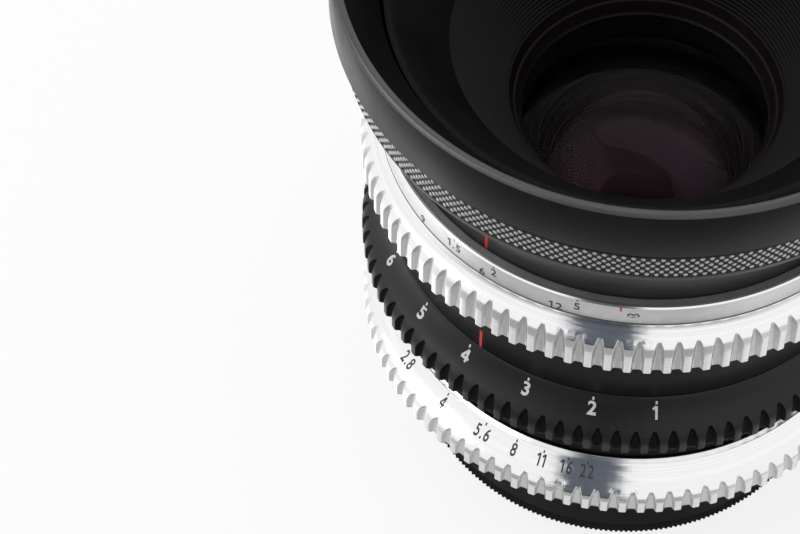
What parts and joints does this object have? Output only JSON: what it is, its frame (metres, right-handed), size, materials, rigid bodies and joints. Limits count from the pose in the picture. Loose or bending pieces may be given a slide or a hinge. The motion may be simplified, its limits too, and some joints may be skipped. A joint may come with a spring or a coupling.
{
  "type": "cinema prime lens",
  "caption": "Cinema prime lens with toothed focus, tune and iris rings, a flared front, a deep conical baffle before the front glass and a bayonet mount at the rear.",
  "frame": {"origin": "centre of the rear mount at its seating face", "axes": "+Z along the optical axis towards the subject; -Y is the side that the picture shows, with the scales; +X is to the right of it"},
  "size_m": [0.0834, 0.0834, 0.0986],
  "materials": {
    "black_anodised": "satin black anodised",
    "polished_aluminium": "polished, clear anodised",
    "plain_aluminium": "turned, plain",
    "matt_black_aluminium": "matt black anodised against stray light",
    "mount_steel": "turned and polished stainless steel",
    "fastener_steel": "bright steel",
    "bearing_brass": "turned brass",
    "blade_steel": "blackened spring steel",
    "coated_glass": "polished, with a purple and green coating"
  },
  "bodies": {
    "barrel": {"mount_plate": "mount_steel", "mount_screws": "fastener_steel", "rear_light_shade": "matt_black_aluminium", "rear_grip_ring": "black_anodised", "rear_barrel": "black_anodised", "main_barrel": "plain_aluminium", "iris_index_ring": "black_anodised", "tune_index_ring": "black_anodised", "focus_retaining_ring": "black_anodised", "neck_barrel": "black_anodised", "front_lock_ring": "black_anodised", "front_ring": "black_anodised"},
    "focus": {"focus_ring": "polished_aluminium", "focus_helicoid": "bearing_brass"},
    "tune": {"tune_ring": "black_anodised", "tune_drive_rod": "fastener_steel"},
    "iris": {"iris_ring": "polished_aluminium", "iris_drive_rod": "fastener_steel"},
    "block": {"block_barrel": "plain_aluminium", "guide_keys": "bearing_brass", "front_hood": "matt_black_aluminium", "conical_baffle": "matt_black_aluminium", "front_bezel": "matt_black_aluminium", "front_glass": "coated_glass", "front_cell": "matt_black_aluminium", "inner_cell": "plain_aluminium", "inner_glass": "coated_glass", "inner_retaining_ring": "matt_black_aluminium", "iris_plate": "matt_black_aluminium", "iris_cover": "matt_black_aluminium", "rear_cell": "matt_black_aluminium", "rear_inner_glass": "coated_glass", "rear_inner_retaining_ring": "matt_black_aluminium", "rear_glass": "coated_glass", "rear_retaining_ring": "matt_black_aluminium"},
    "tune_turner": {"tune_sleeve": "plain_aluminium"},
    "tune_group": {"tune_cell": "plain_aluminium", "tune_glass": "coated_glass", "tune_retaining_ring": "matt_black_aluminium"},
    "iris_cam": {"iris_cam_ring": "bearing_brass"},
    "blade_1": {"iris_blade_1": "blade_steel", "iris_pin_1": "fastener_steel"},
    "blade_2": {"iris_blade_2": "blade_steel", "iris_pin_2": "fastener_steel"},
    "blade_3": {"iris_blade_3": "blade_steel", "iris_pin_3": "fastener_steel"},
    "blade_4": {"iris_blade_4": "blade_steel", "iris_pin_4": "fastener_steel"},
    "blade_5": {"iris_blade_5": "blade_steel", "iris_pin_5": "fastener_steel"},
    "blade_6": {"iris_blade_6": "blade_steel", "iris_pin_6": "fastener_steel"},
    "blade_7": {"iris_blade_7": "blade_steel", "iris_pin_7": "fastener_steel"},
    "blade_8": {"iris_blade_8": "blade_steel", "iris_pin_8": "fastener_steel"}
  },
  "joints": [
    {"name": "focus_turn", "type": "hinge", "parent": "barrel", "child": "focus", "pos_m": [0, 0, 0.0597], "axis": [0, 0, 1], "range_deg": [-34.6, 235]},
    {"name": "tune_turn", "type": "hinge", "parent": "barrel", "child": "tune", "pos_m": [0, 0, 0.0386], "axis": [0, 0, 1], "range_deg": [-42, 32]},
    {"name": "iris_turn", "type": "hinge", "parent": "barrel", "child": "iris", "pos_m": [0, 0, 0.0227], "axis": [0, 0, 1], "range_deg": [-28.6, 48.5]},
    {"name": "block_slide", "type": "slide", "parent": "barrel", "child": "block", "axis": [0, 0, 1], "range_m": [-0.0006, 0.00398]},
    {"name": "tune_sleeve_turn", "type": "hinge", "parent": "block", "child": "tune_turner", "pos_m": [0, 0, 0.0426], "axis": [0, 0, 1], "range_deg": [-42.1, 32.1]},
    {"name": "tune_cell_slide", "type": "slide", "parent": "block", "child": "tune_group", "axis": [0, 0, 1], "range_m": [-0.00069, 0.00053]},
    {"name": "iris_cam_turn", "type": "hinge", "parent": "block", "child": "iris_cam", "pos_m": [0, 0, 0.035], "axis": [0, 0, 1], "range_deg": [-28.7, 48.6]},
    {"name": "blade_1_swing", "type": "hinge", "parent": "block", "child": "blade_1", "pos_m": [0.0176, 0, 0.0374], "axis": [0, 0, 1], "range_deg": [-20.3, 11.95]},
    {"name": "blade_2_swing", "type": "hinge", "parent": "block", "child": "blade_2", "pos_m": [0.01245, 0.01245, 0.0374], "axis": [0, 0, 1], "range_deg": [-20.3, 11.95]},
    {"name": "blade_3_swing", "type": "hinge", "parent": "block", "child": "blade_3", "pos_m": [0, 0.0176, 0.0374], "axis": [0, 0, 1], "range_deg": [-20.3, 11.95]},
    {"name": "blade_4_swing", "type": "hinge", "parent": "block", "child": "blade_4", "pos_m": [-0.01245, 0.01245, 0.0374], "axis": [0, 0, 1], "range_deg": [-20.3, 11.95]},
    {"name": "blade_5_swing", "type": "hinge", "parent": "block", "child": "blade_5", "pos_m": [-0.0176, 0, 0.0374], "axis": [0, 0, 1], "range_deg": [-20.3, 11.95]},
    {"name": "blade_6_swing", "type": "hinge", "parent": "block", "child": "blade_6", "pos_m": [-0.01245, -0.01245, 0.0374], "axis": [0, 0, 1], "range_deg": [-20.3, 11.95]},
    {"name": "blade_7_swing", "type": "hinge", "parent": "block", "child": "blade_7", "pos_m": [0, -0.0176, 0.0374], "axis": [0, 0, 1], "range_deg": [-20.3, 11.95]},
    {"name": "blade_8_swing", "type": "hinge", "parent": "block", "child": "blade_8", "pos_m": [0.01245, -0.01245, 0.0374], "axis": [0, 0, 1], "range_deg": [-20.3, 11.95]}
  ],
  "couplings": [
    {"joint": "block_slide", "follows": "focus_turn", "m_per_rad": 0.000963},
    {"joint": "tune_sleeve_turn", "follows": "tune_turn", "ratio": 1},
    {"joint": "tune_cell_slide", "follows": "tune_turn", "m_per_rad": 0.00093},
    {"joint": "iris_cam_turn", "follows": "iris_turn", "ratio": 1},
    {"joint": "blade_1_swing", "follows": "iris_turn", "ratio": -0.41757},
    {"joint": "blade_2_swing", "follows": "iris_turn", "ratio": -0.41757},
    {"joint": "blade_3_swing", "follows": "iris_turn", "ratio": -0.41757},
    {"joint": "blade_4_swing", "follows": "iris_turn", "ratio": -0.41757},
    {"joint": "blade_5_swing", "follows": "iris_turn", "ratio": -0.41757},
    {"joint": "blade_6_swing", "follows": "iris_turn", "ratio": -0.41757},
    {"joint": "blade_7_swing", "follows": "iris_turn", "ratio": -0.41757},
    {"joint": "blade_8_swing", "follows": "iris_turn", "ratio": -0.41757}
  ]
}
